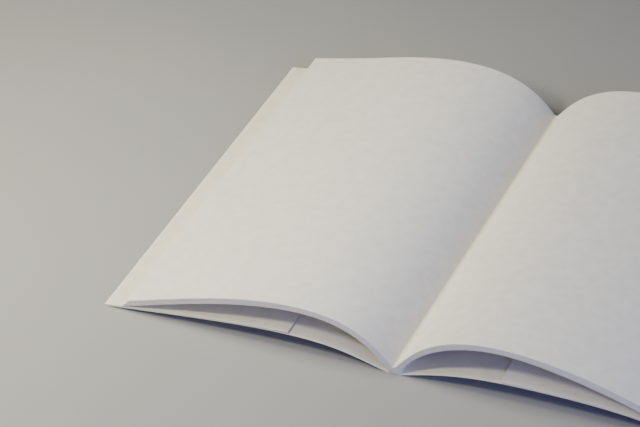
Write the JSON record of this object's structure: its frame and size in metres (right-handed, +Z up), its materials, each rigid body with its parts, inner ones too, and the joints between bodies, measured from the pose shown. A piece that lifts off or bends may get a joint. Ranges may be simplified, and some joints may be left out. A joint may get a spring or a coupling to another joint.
{
  "type": "open book",
  "caption": "Blank softcover book with folded-in cover flaps, lying open at its middle on its spine and fore-edges.",
  "frame": {"origin": "under the middle of the spine, on the surface that the book lies on", "axes": "+X across the spread towards the back cover's fore-edge, +Y along the spine from the foot of the book to its head, +Z up from the table"},
  "size_m": [0.2836, 0.216, 0.027],
  "materials": {
    "page_paper": "matte",
    "cover_card": "matte",
    "binding_glue": "satin"
  },
  "bodies": {
    "book": {"page_block": "page_paper", "spine": "cover_card", "spine_glue": "binding_glue"},
    "front_cover": {"front_cover": "cover_card"},
    "back_cover": {"back_cover": "cover_card"}
  },
  "joints": [
    {"name": "front_cover_fold", "type": "hinge", "parent": "book", "child": "front_cover", "pos_m": [-0.00303, 0, 0], "axis": [0, -1, 0], "range_deg": [0, 90]},
    {"name": "back_cover_fold", "type": "hinge", "parent": "book", "child": "back_cover", "pos_m": [0.00303, 0, 0], "axis": [0, 1, 0], "range_deg": [0, 90]}
  ]
}
